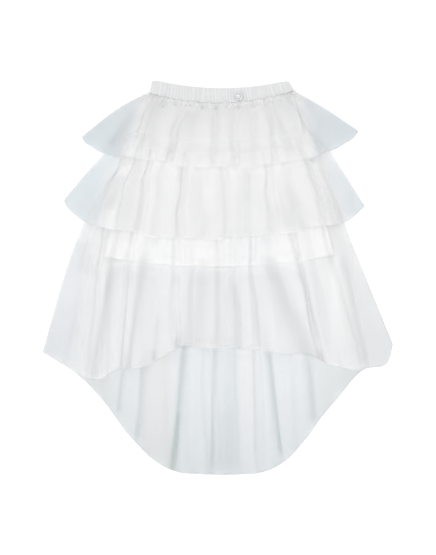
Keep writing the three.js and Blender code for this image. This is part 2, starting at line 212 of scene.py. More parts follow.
TIER_3_CREASES = listed(
    Crease,
    (-178.5, 14, -214, -171, 5, 10, 0.35), (-120, 33, -159, -208, 6, 8, 0.42),
    (-147, 33, -152, -11, 2, 7.3, 0.24), (-103, -69, -110, -147, 1.6, 5.4, 0.24),
    (-71, -103, -73, -127, 2.7, 7.3, 0.28), (-28, 26, -40, -123, 5.4, 14.7, 0.24),
    (-61, -32, -69, -123, 2.7, 7.3, 0.11), (12, 26, 6, -127, 16.32, 16.32, 0.05),
    (31, -15, 41, -134, 5.8, 2.7, 0.28), (65, -21, 75, -115, 7.3, 2.7, 0.12),
    (91, 30, 156, -147, 14.7, 11, 0.3), (135, 43, 176, -106, 7.3, 2, 0.26),
    (214, 36, 256, -151, 9.1, 4.1, 0.32), (174, -123, 177, -147, 11, 4.1, 0.28),
    (-217, 38, -248, -106, 5.4, 14.7, 0.1), (-144, -21, -163, -123, 13.6, 13.6, -0.08),
    (-88, 26, -98, -38, 13.6, 13.6, -0.05), (216, -21, 228, -106, 24.48, 21.76, -0.08),
    (-10, 26, -13, -89, 8.16, 8.16, -0.06), (116, 26, 140, -55, 10.88, 10.88, -0.05),
    (-109, -124, -110, -141, 3, 4, 0.3), (176, -128, 182, -144, 5, 4, 0.3),
    (206, -140, 214, -156, 4, 4, 0.16), (-222, 62, -230, 5, 16, 16, 0.12), (16, -128, 36, -140, 4, 3, 0.1),
)
TRAIN_CREASES = listed(
    Crease,
    (-40, 26, -78, -327, 5, 7, 0.36), (-1, 26, -11, -327, 3, 5, 0.22), (24, 26, 24, -327, 22, 8, 0.1),
    (82, -89, 110, -302, 5.9, 3, 0.31), (150, -106, 167, -242, 8, 4, 0.21),
    (-127, -123, -139, -276, 3, 9, 0.2), (-163, -127, -169, -229, 2.4, 6.4, 0.21),
    (7, -225, 14, -327, 20, 24, 0.05), (-68, -230, -80, -327, 5, 11, 0.1),
    (-95, -115, -98, -310, 21.42, 19.04, -0.06), (60, -115, 69, -310, 16.66, 14.28, -0.06),
    (-30, -115, -35, -319, 14.28, 14.28, -0.02), (126, -123, 123, -276, 19.04, 19.04, -0.03),
    (208, -123, 182, -208, 19.04, 19.04, -0.03), (-200, -127, -180, -200, 14.28, 14.28, -0.03),
)


# ---- What a user would change ----
def length_setting(name, description, default):
    """A length whose default is given in millimetres."""
    return FloatProperty(name=name, description=description, default=default * MM, unit="LENGTH")


def colour_setting(name, description, default):
    """A colour as linear red, green and blue."""
    return FloatVectorProperty(name=name, description=description, default=default, subtype="COLOR")


class SkirtSizes(bpy.types.PropertyGroup):
    """Sizes of the fine form that is laid over the panels."""

    tulle_thickness: length_setting("Tulle thickness", "Thickness of the net", 0.35)
    lining_thickness: length_setting("Lining thickness", "Thickness of the lining", 0.6)
    gather_height: length_setting("Gather height", "How far the gathers stand up in a seam", 0.55)
    crease_depth: length_setting("Crease depth", "How deep the darkest crease sinks", 1.8)
    band_ripple: length_setting("Band ripple", "How far the casing's gathers stand up", 0.8)
    stitch_pitch: length_setting("Stitch pitch", "Distance from one stitch to the next", 3.2)
    band_gathers: IntProperty(name="Band gathers", description="Gathers across one side of it", default=42)


class SkirtColours(bpy.types.PropertyGroup):
    """Colours of the cloths and the metal."""

    tulle_white: colour_setting("Tulle white", "Tulle where it is bunched", (0.95, 0.95, 0.95))
    # Painted shade: a shaded surface seen through a single layer of net.
    tulle_ice: colour_setting("Tulle ice", "Tulle in a single thin layer", (0.52, 0.61, 0.66))
    tulle_grey: colour_setting("Tulle grey", "Tulle in the soft shade of a fold", (0.55, 0.55, 0.56))
    # Painted shade: a shaded surface seen through a single layer of tier 3 and the train.
    tulle_smoke: colour_setting("Tulle smoke", "Tier 3 in a single layer", (0.59, 0.632, 0.67))
    # Painted shade down in the creases.
    tulle_dusk: colour_setting("Tulle dusk", "Tulle down in its creases", (0.36, 0.38, 0.39))
    # Painted shade down in the train's creases.
    tulle_deep: colour_setting("Tulle deep", "Tulle down in the train's creases", (0.30, 0.38, 0.37))
    lining: colour_setting("Lining", "The lining's cloth", (0.782, 0.782, 0.782))
    band: colour_setting("Band", "The waistband's casing", (0.69, 0.695, 0.70))
    metal: colour_setting("Metal", "The badge's metal", (0.8, 0.81, 0.83))
    floor: colour_setting("Floor", "The surface under the skirt", (0.92, 0.92, 0.92))


# ---- Small helpers ----
def mix(a, b, t):
    """a at t = 0, b at t = 1, on a straight line between."""
    return a + (b - a) * t


def ease(t):
    """0 up to t = 0, 1 from t = 1, and 3t^2 - 2t^3 between."""
    t = np.clip(t, 0, 1)
    return t * t * (3 - 2 * t)


def signed_power(value, power):
    """|value|^power with the sign of value."""
    return np.sign(value) * np.abs(value) ** power


def fade(t):
    """exp(-t^2): 1 at t = 0, and nearly 0 from t = 2."""
    return np.exp(-(t**2))


def bell(distance, left, right):
    """fade(d / w), with w the left width where d is below 0 and the right one elsewhere."""
    return fade(distance / np.where(distance < 0, left, right))


class Seam:
    """A seam as the parabola through its two ends and its middle, moved down by drop."""

    def __init__(self, line, drop=0):
        (x0, y0), (x1, y1), (x2, y2) = line
        self.left, self.right = x0, x2
        self.curvature = ((y2 - y1) / (x2 - x1) - (y1 - y0) / (x1 - x0)) / (x2 - x0)
        self.slope = (y1 - y0) / (x1 - x0) - self.curvature * (x1 - x0)
        self.start = y0 - drop

    def y(self, x):
        """start + (x - left)(slope + curvature (x - left))."""
        run = x - self.left
        return self.start + run * (self.slope + self.curvature * run)


class Hem:
    """A hem as a smooth curve through its spots, read as y at an x.

    Between spots b and c, with a before and d after, it is the cubic through b and c whose slopes there are
    half of c - a and half of d - b.
    """

    def __init__(self, spots):
        p = np.array(spots, float)
        self.left, self.right = p[0, 0], p[-1, 0]
        t = np.linspace(0, len(p) - 1, 400)
        i = np.minimum(t.astype(int), len(p) - 2)
        w = (t - i)[:, None]
        a, b, c, d = p[np.maximum(i - 1, 0)], p[i], p[i + 1], p[np.minimum(i + 2, len(p) - 1)]
        before, after = (c - a) / 2, (d - b) / 2
        cubic, square = 2 * b - 2 * c + before + after, 3 * c - 3 * b - 2 * before - after
        curve = (cubic * w + square) * w**2 + before * w + b
        self.spots = curve[:, 0], curve[:, 1]

    def y(self, x):
        return np.interp(x, *self.spots)


def hidden_folds(seam, hem, count=10):
    """Valleys of a panel that is out of sight: nearly even, none quite."""
    rows = []
    for i in range(count + 1):
        stray = 0.18 * math.sin(2.4 * i) if 0 < i < count else 0
        share = (i + stray) / count
        rise = 0.75 + 0.25 * math.cos(1.7 * i)
        lean = math.sin(2.1 * i)
        rows.append(Fold(mix(seam.left, seam.right, share), mix(hem.left, hem.right, share), rise, lean, 0))
    return rows


# Painted light along a hem or seam: how far below the line it centres, how wide, how much, and if off the
# lining too.
PaintedLight = namedtuple("PaintedLight", "line below width amount everywhere", defaults=(False,))

# A panel's settings that may be left out. Lengths are in millimetres, and looks are shares.
PLAIN = {
    "creases": (),
    "veils": (),  # painted light along a line: how far below it, how wide, how much, if off the lining too
    "land": 0,  # flat share of each valley
    "tuck": 0,  # how far the top edge goes up into the seam
    "scallop": 0,  # how far the hem steps up and down from flute to flute
    # Painted shade: ice is the bluish shade of a shaded surface seen through the net, and grey is neutral
    # shade.
    "ice": 0,  # bluish tone over the lining,
    "bare_ice": 0,  # beyond the lining's sides,
    "ice_reach": 60,  # how far beyond them it is reached,
    "foot_ice": 0,  # and what is added evenly down to the hem
    "grey": 0,  # neutral shade all over,
    "top_grey": 0,  # added under the seam,
    "foot_grey": 0,  # added evenly down to the hem,
    "foot_shade": 0,  # added just over the hem,
    "rim_grey": 0,  # and added inside the lining's sides
    "foot_deep": 0,  # painted shade in the creases' colour, growing towards the hem
    "rim_glow": 0,  # painted light along the lining's sides
    "header": 1,  # how closely the seam's gathers are bunched
    "side_bunch": 0,  # how closely the cloth is bunched over the lining
    "thin_head": 0,  # how much thinner it looks at the seam,
    "thin_foot": 0,  # and at the hem
}


class Panel:
    """A panel of cloth over a plan of straight lines that fan out from its seam to its hem.

    It has a seam, a hem, folds, the wall's thickness, the crest's height, the slope on which other panels
    climb its edges, the bow of its left and right sides, the panels under it, and the settings in PLAIN.
    """

    def __init__(self, under=(), **facts):
        self.under = list(under)
        self.__dict__.update(PLAIN)
        self.__dict__.update(facts)

    def bend(self, v):
        """sin(pi v^0.6): how far a side has curved outwards a share v of the way down it."""
        return np.sin(math.pi * np.clip(v, 0, 1) ** 0.6)

    def side_x(self, side, y):
        """x of the left (-1) or right (1) side: the line from seam end to hem end, bowed outwards."""
        top, foot = (self.seam.left, self.hem.left) if side < 0 else (self.seam.right, self.hem.right)
        v = np.clip((self.seam.y(top) - y) / (self.seam.y(top) - self.hem.y(foot)), 0, 1)
        return mix(top, foot, v) + side * self.bow[side > 0] * self.bend(v)

    def from_side(self, x, y):
        """Distance inwards from the nearer side."""
        return np.minimum(x - self.side_x(-1, y), self.side_x(1, y) - x)

    def loft(self, x, y):
        """How high a crest may stand: low in the seam and nothing at the sides."""
        down = mix(GATHERED_SHARE, 1, ease((self.seam.y(x) - y) / SWELL))
        return self.crest * down * ease(self.from_side(x, y) / SWELL)

    def room(self, x, y):
        """The height that the panel takes up, with the gap over it."""
        return self.wall + SEAM_GAP + AIR * ease(self.from_side(x, y) / AIR_SWELL) + self.loft(x, y)

    def cover(self, x, y):
        """1 over the panel, easing to 0 beyond its edges."""
        inside = np.minimum(np.minimum(self.from_side(x, y), self.seam.y(x) - y), y - self.hem.y(x))
        return ease(1 + (inside + REACH) / self.slope)

    def base(self, x, y):
        """The height at which the panel lies: the room of all that is under it."""
        return sum((panel.room(x, y) * panel.cover(x, y) for panel in self.under), np.zeros(np.shape(x)))

    def fan(self, columns, rows):
        """Plan of the panel on a grid: x, y, flute number u and share v of the way down.

        x = seam x + (hem x - seam x) v, with the outer lines bowed by bend(v) times the cube of how near they
        are to their side. The rows are closer together by the seam: v = t^1.25.
        """
        u, v = np.meshgrid(np.linspace(0, len(self.folds) - 1, columns), np.linspace(0, 1, rows) ** 1.25)
        knots = np.arange(len(self.folds))
        seam_x = np.interp(u, knots, [fold.seam for fold in self.folds])
        hem_x = np.interp(u, knots, [fold.hem for fold in self.folds])
        across = (seam_x - self.seam.left) / (self.seam.right - self.seam.left)
        pull = self.bow[1] * across**3 - self.bow[0] * (1 - across) ** 3
        x = mix(seam_x, hem_x, v) + pull * self.bend(v)
        y = mix(self.seam.y(seam_x), self.hem.y(hem_x), v)
        return x, y, u, v, seam_x, hem_x

    def surface(self, columns, rows, sizes):
        """Middle of the cloth on a grid in metres, what its finish reads, and its map in millimetres.

        Height = what lies under it + flutes + fine gathers - creases. A flute is loft rise sin(pi t)^1.6
        between two valleys. It leans over by lean times its height, which folds its steep side under. At
        flute i, the lower half is moved up or down by scallop sin(2.3 i + 1).
        """
        x, y, u, v, seam_x, hem_x = self.fan(columns, rows)
        i = np.minimum(u.astype(int), len(self.folds) - 2)
        t = np.clip((u - i - self.land / 2) / (1 - self.land), 0, 1)
        rise, lean, tone = (np.array(column) for column in list(zip(*self.folds))[2:])
        edge = ease(self.from_side(x, y) / FULL_EDGE)
        length = self.seam.y(seam_x) - self.hem.y(hem_x)
        down = v * length

        # Long soft side waves, so that no flute runs quite straight.
        stray = np.sin(2 * math.pi * v * 1.3 + 1.9 * u) + 0.6 * np.sin(2 * math.pi * v * 2.7 + 0.8 * u)
        x = x + SIDE_WAVE * stray * edge * ease(down / 60) * ease((length - down) / 50)

        low, loft = self.base(x, y), self.loft(x, y)
        flute = loft * rise[i] * np.sin(math.pi * t) ** 1.6
        gathers, seam_bunch = self.gathers(u, seam_x, down, edge, sizes)
        dark, bunched = self.creased(x, y)
        height = flute + gathers * edge - sizes.crease_depth / MM * dark + BUNCH_HEIGHT * bunched
        height = np.clip(height, -0.35, loft + 0.9) + self.wall / 2
        x = x + lean[i] * flute
        y = mix(self.seam.y(seam_x), self.hem.y(x[-1]), v) + self.tuck * (1 - ease(down / 6))
        step = mix(np.sin(2.3 * i + 1), np.sin(2.3 * (i + 1) + 1), ease((u - i - 0.86) / 0.14))
        y = y + edge * ease((v - 0.5) / 0.5) * self.scallop * step
        points = np.stack([x, y, np.maximum(low + height, LOWEST)], -1) * MM

        # Painted shade of each strip between two folds, changing at the valley on its right.
        tone = mix(tone[i], tone[i + 1], ease((u - i - 0.94) / 0.06)) * ease(down / FULL_TONE)
        bunched = bunched + seam_bunch * self.header
        looks = self.looks(x, y, v, down, length - down, edge, tone, dark, bunched)
        return points, looks, np.stack([seam_x * 1.5, down], -1)

    def gathers(self, u, seam_x, down, edge, sizes):
        """Height of the fine gathers, and how closely they bunch the cloth.

        They are sine waves across the panel: tight ones that die out below the seam, looser ones that reach
        further down by turns, and faint ripples in the flutes below them.
        """
        drift = 2.2 * np.sin(seam_x / 13) + 0.6 * np.sin(down / 9 + seam_x / 5)
        tight = 2 * math.pi * seam_x / GATHER_PITCH + drift
        uneven = 0.65 + 0.35 * np.sin(seam_x / 7.3 + 1)
        height = sizes.gather_height / MM * uneven * np.exp(-down / GATHER_REACH) * np.sin(tight)
        loose = 2 * math.pi * seam_x / LOOSE_PITCH + 1.7 * np.sin(seam_x / 23 + 1) + 0.25 * np.sin(down / 31)
        reach = 34 + 26 * np.sin(seam_x / 9.1)
        height = height + LOOSE_HEIGHT * np.exp(-down / reach) * np.sin(loose)
        ripple = 2 * math.pi * RIPPLES_IN_FLUTE * u + 1.5 * np.sin(1.3 * u) + down / 60
        height = height + RIPPLE_HEIGHT * edge * ease(down / 60) * np.sin(ripple)
        return height, np.exp(-down / 9) * (0.75 + 0.25 * np.sin(tight))

    def creased(self, x, y):
        """How dark and how bunched the creases make each place: a bell across each, eased out at its ends."""
        dark, bunched = np.zeros(x.shape), np.zeros(x.shape)
        for crease in self.creases:
            along = (crease.y0 - y) / (crease.y0 - crease.y1)
            centre = mix(crease.x0, crease.x1, along) + CREASE_WAVE * np.sin(along * 5 + crease.x0)
            ends = ease(along / 0.12 + 0.5) * ease((1 - along) / 0.12 + 0.5)
            here = bell(x - centre, crease.left, crease.right) * ends * abs(crease.dark)
            if crease.dark > 0:
                dark = dark + here
            else:
                bunched = bunched + here
        return dark, bunched

    def looks(self, x, y, v, down, up, edge, tone, dark, bunched):
        """What the finish reads at each place. down and up are its distances from the seam and the hem."""
        inwards = lining_front.from_side(x, y)
        outwards = np.maximum(-inwards, 0)
        backed = ease(inwards / FULL_BACKING)
        bunched = bunched + self.side_bunch * fade(outwards / SIDE_BUNCH_REACH)

        # Painted shade: ice for the shaded surface seen through a single layer, grey for neutral shade.
        even = mix(self.ice, self.bare_ice, ease(outwards / self.ice_reach)) + self.foot_ice * v
        ice = np.clip(even + tone - 0.5 * bunched, 0, 1)
        grey = self.grey + self.top_grey * np.exp(-down / TOP_GREY_REACH) + self.foot_grey * v
        grey = grey + self.foot_shade * backed * fade(up / FOOT_SHADE_REACH)
        # What bunching or a negative tone takes from the ice, it gives to the grey in part.
        grey = grey + 0.75 * (even - ice).clip(-1, 0.3) + 0.55 * (-tone).clip(0)
        rim = np.where(inwards > 0, fade(inwards / RIM_REACH), 0) * ease((y - lining_hem.y(x)) / 6 + 1)

        # Painted light: glow along the lining's sides and along given lines, lifting the grey lines that hems
        # and seams cast.
        glow = self.rim_glow * edge * bell(inwards, RIM_GLOW_OUT, RIM_GLOW_IN)
        for veil in self.veils:
            light = veil.amount * bell(y - veil.line.y(x) + veil.below, veil.width, veil.width / 2)
            glow = glow + light * (1 if veil.everywhere else backed)
        thin = self.thin_head * fade(down / THIN_HEAD_REACH)
        thin = thin + self.thin_foot * fade(up / THIN_FOOT_REACH) * backed
        return {
            "ice": ice,
            "grey": grey + self.rim_grey * rim,
            "deep": dark + self.foot_deep * v**3,
            "glow": glow,
            "bunched": bunched - thin,
        }


# ---- The panels, from the surface up ----
waist_seam = Seam(WAIST_SEAM, SEAM_GAP)
tier_2_seam, tier_3_seam, lining_hem = Seam(TIER_2_SEAM), Seam(TIER_3_SEAM), Seam(LINING_HEM)
tier_1_hem, tier_2_hem, tier_3_hem, train_hem = map(Hem, (TIER_1_HEM, TIER_2_HEM, TIER_3_HEM, TRAIN_HEM))

tulle = {"wall": TULLE_WALL, "slope": TULLE_SLOPE}
tier_1 = {**tulle, "seam": waist_seam, "hem": tier_1_hem, "bow": (13.6, 6)}
tier_2 = {**tulle, "seam": tier_2_seam, "hem": tier_2_hem, "bow": (13, 10)}
tier_3 = {**tulle, "seam": tier_3_seam, "bow": (32, 3)}
lining = {
    "wall": LINING_WALL,
    "slope": LINING_SLOPE,
    "crest": 0,
    "seam": waist_seam,
    "hem": lining_hem,
    "bow": (0, 0),
    "folds": hidden_folds(waist_seam, lining_hem, 5),
}
back = {"crest": BACK_CREST, "land": LAND_SHARE, "ice": 0.3, "bare_ice": 0.6}
tier_1_back = Panel(**tier_1, **back, folds=hidden_folds(waist_seam, tier_1_hem))
tier_2_back = Panel([tier_1_back], **tier_2, **back, folds=hidden_folds(tier_2_seam, tier_2_hem))
train = Panel(
    [tier_1_back, tier_2_back],
    **tier_3,
    hem=train_hem,
    crest=TRAIN_CREST,
    folds=TRAIN_FOLDS,
    creases=TRAIN_CREASES,
    veils=[PaintedLight(tier_3_hem, 1.1, 3.4, 0.32, everywhere=True)],
    land=LAND_SHARE,
    ice=0.45,
    bare_ice=0.45,
    foot_ice=0.2,
    grey=0.15,
    foot_grey=0.1,
    foot_deep=0.24,
)
lining_back = Panel([*train.under, train], **lining)
lining_front = Panel([*lining_back.under, lining_back], **lining)
tier_3_front = Panel(
    [*lining_front.under, lining_front],
    **tier_3,
    crest=FRONT_CREST,
    hem=tier_3_hem,
    folds=TIER_3_FOLDS,
    creases=TIER_3_CREASES,
    veils=[PaintedLight(lining_hem, 1.2, 3.6, 0.42), PaintedLight(lining_hem, 4.5, 12, 0.2), PaintedLight(tier_2_hem, 0.6, 6, 0.25)],
    scallop=HEM_STEP,
    ice=0.05,
    bare_ice=0.12,
    grey=0.04,
    foot_shade=0.22,
    rim_grey=0.06,
    rim_glow=0.12,
    header=0.7,
    side_bunch=0.3,
    thin_head=0.7,
    thin_foot=0.5,
)
tier_2_front = Panel(
    [*tier_3_front.under, tier_3_front],
    **tier_2,
    crest=FRONT_CREST,
    folds=TIER_2_FOLDS,
    creases=TIER_2_CREASES,
    veils=[PaintedLight(tier_1_hem, 1.2, 5, 0.15), PaintedLight(tier_3_seam, 1.5, 5, 0.1)],
    scallop=HEM_STEP,
    bare_ice=0.5,
    grey=0.05,
    foot_grey=0.16,
    foot_shade=0.13,
    rim_grey=0.12,
    rim_glow=0.2,
    header=0.1,
    side_bunch=0.5,
    thin_head=1.3,
    thin_foot=0.2,
)
tier_1_front = Panel(
    [*tier_2_front.under, tier_2_front],
    **tier_1,
    crest=FRONT_CREST,
    folds=TIER_1_FOLDS,
    creases=TIER_1_CREASES,
    veils=[PaintedLight(waist_seam, 0, 4, 0.33), PaintedLight(tier_2_seam, 1.5, 4, 0.09)],
    tuck=2.2,
    scallop=HEM_STEP,
    bare_ice=0.62,
    ice_reach=28,
    grey=0.19,
    top_grey=0.46,
    rim_grey=0.18,
    rim_glow=0.25,
    header=0.6,
    side_bunch=0.25,
    thin_foot=0.3,
)


# ---- Meshes ----
def grid_quads(rows, columns, round_rows=False, round_columns=False):
    """Corner numbers of each quad of a grid, counted row by row, joined end to end where it is round."""
    r, c = np.meshgrid(
        np.arange(rows if round_rows else rows - 1),
        np.arange(columns if round_columns else columns - 1),
        indexing="ij",
    )
    r2, c2 = (r + 1) % rows, (c + 1) % columns
    corners = [r2 * columns + c, r2 * columns + c2, r * columns + c2, r * columns + c]
    return np.stack(corners, -1).reshape(-1, 4)


def add_piece(name, points, quads, finish, replaces=(), facts=None, uv=None):
    """A smooth mesh that rides on the skirt. facts are its vertex attributes, and uv is its map in metres."""
    mesh = bpy.data.meshes.new(name)
    points = np.ascontiguousarray(points, np.float32).reshape(-1, 3)
    mesh.vertices.add(len(points))
    mesh.vertices.foreach_set("co", points.ravel())
    mesh.loops.add(quads.size)
    mesh.loops.foreach_set("vertex_index", quads.ravel().astype(np.int32))
    mesh.polygons.add(len(quads))
    mesh.polygons.foreach_set("loop_start", np.arange(0, quads.size, 4, dtype=np.int32))
    mesh.polygons.foreach_set("use_smooth", np.ones(len(quads), bool))
    mesh.update(calc_edges=True)
    for what, values in (facts or {}).items():
        layer = mesh.attributes.new(what, "FLOAT", "POINT")
        layer.data.foreach_set("value", values.ravel().astype(np.float32))
    if uv is not None:
        layer = mesh.uv_layers.new(name="cloth")
        layer.data.foreach_set("uv", uv.reshape(-1, 2)[quads.ravel()].astype(np.float32).ravel())
    mesh.materials.append(finish)
    piece = bpy.data.objects.new(name, mesh)
    bpy.context.scene.collection.objects.link(piece)
    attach(piece, ROOT)
    if replaces:
        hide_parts(*replaces)
    return piece


def grid_normals(points):
    """Unit normals of a grid: the cross product of its steps along a row and up a column."""
    along, down = np.gradient(points, axis=1), np.gradient(points, axis=0)
    normals = np.cross(along, -down)
    return normals / np.maximum(np.linalg.norm(normals, axis=-1, keepdims=True), 1e-12)


def add_cloth(name, points, thickness, finish, replaces, facts, uv):
    """A closed shell of cloth: a grid moved out by half its thickness on both sides, and a rim."""
    rows, columns = points.shape[:2]
    step = grid_normals(points) * thickness / 2
    upper, lower = points + step, points - step
    lower[..., 2] = np.maximum(lower[..., 2], 0.05 * MM)
    top = grid_quads(rows, columns)
    count = rows * columns
    ring = np.concatenate(
        [
            np.arange(columns),
            np.arange(1, rows) * columns + columns - 1,
            (rows - 1) * columns + np.arange(columns - 2, -1, -1),
            np.arange(rows - 2, 0, -1) * columns,
        ]
    )
    after = np.roll(ring, -1)
    rim = np.stack([ring, after, after + count, ring + count], -1)
    quads = np.concatenate([top, top[:, ::-1] + count, rim])
    doubled = {what: np.concatenate([values, values]) for what, values in facts.items()}
    both = np.concatenate([upper, lower])
    return add_piece(name, both, quads, finish, replaces, doubled, np.concatenate([uv, uv]) * MM)


def add_stitches(name, path, length, thickness, finish):
    """Short threads lying along a path, one mesh.

    Each is a tube with 6 sides. Its middle line is the path's chord, raised by 0.6 sin(pi t) thicknesses,
    and its radius is half the thickness times sin(pi t)^0.5, so it dives into the cloth at both ends.
    """
    t = np.linspace(0.02, 0.98, 5)
    turn = np.arange(6) / 6 * 2 * math.pi
    direction = np.gradient(path, axis=0)
    direction /= np.linalg.norm(direction, axis=-1, keepdims=True)
    up = np.array([0.0, 0, 1])
    side = np.cross(direction, up)
    side /= np.linalg.norm(side, axis=-1, keepdims=True)
    over = np.cross(side, direction)
    middle = path[:, None] + direction[:, None] * ((t - 0.5) * length)[None, :, None]
    middle = middle + over[:, None] * (np.sin(math.pi * t) * thickness * 0.6)[None, :, None]
    radius = thickness / 2 * np.sin(math.pi * t) ** 0.5
    spoke = side[:, None] * np.cos(turn)[None, :, None] + over[:, None] * np.sin(turn)[None, :, None]
    points = middle[:, :, None] + spoke[:, None] * radius[None, :, None, None]
    one = grid_quads(len(t), len(turn), round_columns=True)
    caps = np.array([[0, 1, 2, 3], [0, 3, 4, 5]])
    end = (len(t) - 1) * len(turn)
    one = np.concatenate([one, caps, caps[:, ::-1] + end])
    size = len(t) * len(turn)
    quads = (one[None] + (np.arange(len(path)) * size)[:, None, None]).reshape(-1, 4)
    return add_piece(name, points, quads[:, ::-1], finish)


def evenly(points, pitch):
    """Places a pitch apart along a line of points."""
    run = np.concatenate([[0], np.cumsum(np.linalg.norm(np.diff(points, axis=0), axis=1))])
    at = np.arange(pitch, run[-1] - pitch / 2, pitch)
    return np.stack([np.interp(at, run, points[:, axis]) for axis in range(3)], -1)


def stitch_line(panel, edge, inset, above, lift, sizes):
    """Places of stitches along a panel's edge: inset from its ends, above it, and lift over the wall."""
    x = np.linspace(edge.left + inset, edge.right - inset, 300)
    y = edge.y(x) + above
    z = panel.base(x, y) + panel.wall / 2 + lift
    return evenly(np.stack([x, y, z], -1) * MM, sizes.stitch_pitch)


# ---- Finishes: pitches of the weaves in millimetres, and the slant of the net's rows of openings ----
NET_PITCH = 1.5
NET_SLANT = 0.6
LINING_PITCH = 0.9
BAND_PITCH = 1.1


class Value:
    """A socket in an expression. + - and * add Math nodes."""

    def __init__(self, finish, socket):
        self.finish, self.socket = finish, socket

    def math(self, operation, *values):
        return self.finish.node("Math", {"operation": operation}, dict(enumerate(values)))

    def __add__(self, other):
        return self.math("ADD", self, other)

    def __sub__(self, other):
        return self.math("SUBTRACT", self, other)

    def __rsub__(self, other):
        return self.math("SUBTRACT", other, self)

    def __mul__(self, other):
        return self.math("MULTIPLY", self, other)

    __radd__, __rmul__ = __add__, __mul__

    def sine(self):
        return self.math("SINE", self)

    def clamped(self):
        return self.math("MINIMUM", self.math("MAXIMUM", self, 0.0), 1.0)


class Finish:
    """A node material under construction."""

    def __init__(self, name):
        self.material = bpy.data.materials.new(name)
        self.material.use_nodes = True
        self.tree = self.material.node_tree
        self.tree.nodes.clear()

    def node(self, kind, settings=None, inputs=None, out=0):
        """Adds a node, sets it up, then gives its sockets their values or links, and returns one output."""
        made = self.tree.nodes.new("ShaderNode" + kind)
        for what, value in (settings or {}).items():
            setattr(made, what, value)
        for socket, value in (inputs or {}).items():
            if isinstance(value, Value):
                self.tree.links.new(value.socket, made.inputs[socket])
            else:
                made.inputs[socket].default_value = value
        return Value(self, made.outputs[out])

    def blend(self, first, second, share):
        """first at share 0 and second at share 1, as colours."""
        return self.node("Mix", {"data_type": "RGBA"}, {0: share, 6: first, 7: second}, 2)

    def attribute(self, name):
        return self.node("Attribute", {"attribute_name": name}, out="Fac")

    def cloth_axes(self):
        """The map's two coordinates in millimetres: across the cloth and along it."""
        uv = self.node("UVMap", {"uv_map": "cloth"})
        parts = self.node("SeparateXYZ", inputs={0: uv})
        return parts * (1 / MM), Value(self, parts.socket.node.outputs[1]) * (1 / MM)

    def noise(self, scale, detail=2.0):
        place = self.node("TexCoord", out="Object")
        return self.node("TexNoise", inputs={"Vector": place, "Scale": scale, "Detail": detail})

    def weave(self, pitch):
        """A plain weave on the map: sin(2 pi across / pitch) sin(2 pi along / pitch)."""
        across, along = self.cloth_axes()
        turns = 2 * math.pi / pitch
        return (across * turns).sine() * (along * turns).sine()

    def bump(self, strength, distance, height):
        """The normal of a relief with this height. distance is in millimetres."""
        return self.node("Bump", inputs={"Strength": strength, "Distance": distance * MM, "Height": height})

    def finished(self, **inputs):
        """Joins a Principled shader with these sockets to the output."""
        named = {what.replace("_", " "): value for what, value in inputs.items()}
        shader = self.node("BsdfPrincipled", inputs=named)
        output = self.tree.nodes.new("ShaderNodeOutputMaterial")
        self.tree.links.new(shader.socket, output.inputs["Surface"])
        return self.material


def opaque(colour, tone=1):
    """A colour, made darker or lighter by a tone, with its alpha."""
    return (*(part * tone for part in colour), 1.0)


def tulle_finish(name, colours, cover, thin_colour, crease_colour):
    """Sheer net: sin(a)^2 sin(b)^2 along its two slanting directions marks the openings.

    cover is how much one side of a single layer hides.
    """
    finish = Finish(name)
    ice, grey, deep, bunched = (finish.attribute(what) for what in ("ice", "grey", "deep", "bunched"))
    mottle = finish.noise(38.0) - 0.5
    # Painted shade: ice blends in the thin layer's painted bluish shade, grey the painted grey shade, and
    # deep the painted shade in creases.
    colour = finish.blend(opaque(colours.tulle_white), opaque(thin_colour), ice.clamped())
    colour = finish.blend(colour, opaque(colours.tulle_grey), (grey + mottle * 0.1).clamped())
    colour = finish.blend(colour, opaque(crease_colour), deep.clamped())
    across, along = finish.cloth_axes()
    turns = math.pi / NET_PITCH
    one = ((across + along * NET_SLANT) * turns).sine()
    other = ((across - along * NET_SLANT) * turns).sine()
    threads = 1 - one * one * other * other
    alpha = cover * (0.75 + 0.33 * threads) + bunched * 0.16 + deep * 0.22 + (ice + grey).clamped() * 0.05
    return finish.finished(
        Base_Color=colour,
        Alpha=alpha.clamped(),
        Normal=finish.bump(0.25, 0.3, threads + mottle * 2),
        # Painted light: the net glows by the glow attribute along hems, seams and the lining's sides.
        Emission_Color=finish.blend(opaque([0, 0, 0]), opaque([1, 1, 1]), finish.attribute("glow").clamped()),
        Emission_Strength=0.4,
        Roughness=0.85,
        Specular_IOR_Level=0.2,
    )


def lining_finish(colours):
    """Opaque plain weave."""
    finish = Finish("lining_cloth")
    weave = finish.weave(LINING_PITCH)
    mottle = finish.noise(25.0) - 0.5
    shade = (0.3 + mottle + weave * 0.15).clamped()
    colour = finish.blend(opaque(colours.lining), opaque(colours.lining, 0.9), shade)
    bump = finish.bump(0.3, 0.2, weave + mottle * 3)
    return finish.finished(Base_Color=colour, Normal=bump, Roughness=0.8, Specular_IOR_Level=0.25)


def band_finish(colours):
    """Soft plain weave, greyer down between the casing's gathers."""
    finish = Finish("band_casing_cloth")
    weave = finish.weave(BAND_PITCH)
    mottle = finish.noise(60.0) - 0.5
    shade = (finish.attribute("shade") + mottle * 0.3).clamped()
    colour = finish.blend(opaque(colours.band), opaque(colours.band, 0.62), shade)
    bump = finish.bump(0.35, 0.2, weave + mottle * 2)
    return finish.finished(Base_Color=colour, Normal=bump, Roughness=0.85, Specular_IOR_Level=0.2)


def thread_finish(colours):
    """Matte sewing thread in nearly the lining's colour."""
    finish = Finish("sewing_thread")
    twist = finish.noise(900.0, 1.0)
    colour = finish.blend(opaque(colours.lining, 0.95), opaque(colours.lining, 1.1), twist)
    return finish.finished(Base_Color=colour, Roughness=0.7)


